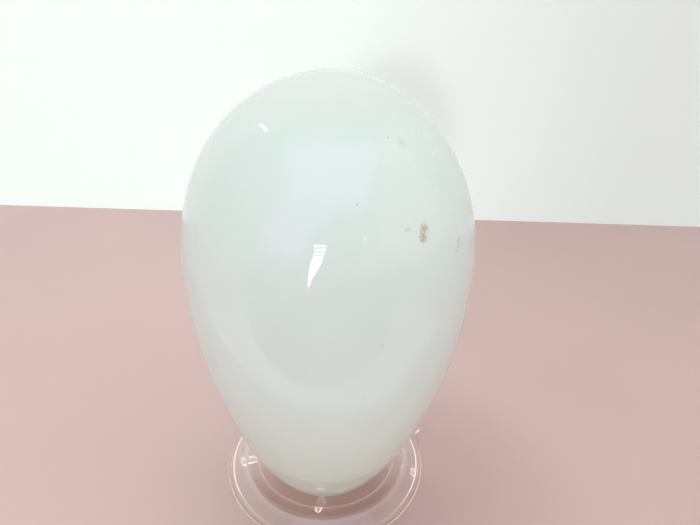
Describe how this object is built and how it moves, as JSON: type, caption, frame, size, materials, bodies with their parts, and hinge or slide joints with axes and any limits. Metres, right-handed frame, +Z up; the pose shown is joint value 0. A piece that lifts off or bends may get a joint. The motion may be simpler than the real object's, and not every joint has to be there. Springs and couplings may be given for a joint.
{
  "type": "glass easter egg on stand",
  "caption": "Large blown milk-glass egg, narrow end down, held by the prongs of a clear sloped collar on bowed legs with ball feet.",
  "frame": {"origin": "on the table, under the egg's axis", "axes": "+Z up along the egg's axis, -Y towards the front leg, +X to the right seen from the front"},
  "size_m": [0.08, 0.0815, 0.1554],
  "materials": {
    "milk_glass": "glossy opal",
    "clear_plastic": "clear, glossy"
  },
  "bodies": {
    "stand": {"collar": "clear_plastic", "leg_front": "clear_plastic", "leg_back_right": "clear_plastic", "leg_back_left": "clear_plastic"},
    "egg": {"egg_shell": "milk_glass"}
  },
  "joints": [
    {"name": "egg_lift", "type": "slide", "parent": "stand", "child": "egg", "axis": [0, 0, 1], "range_m": [0, 0.06]}
  ]
}
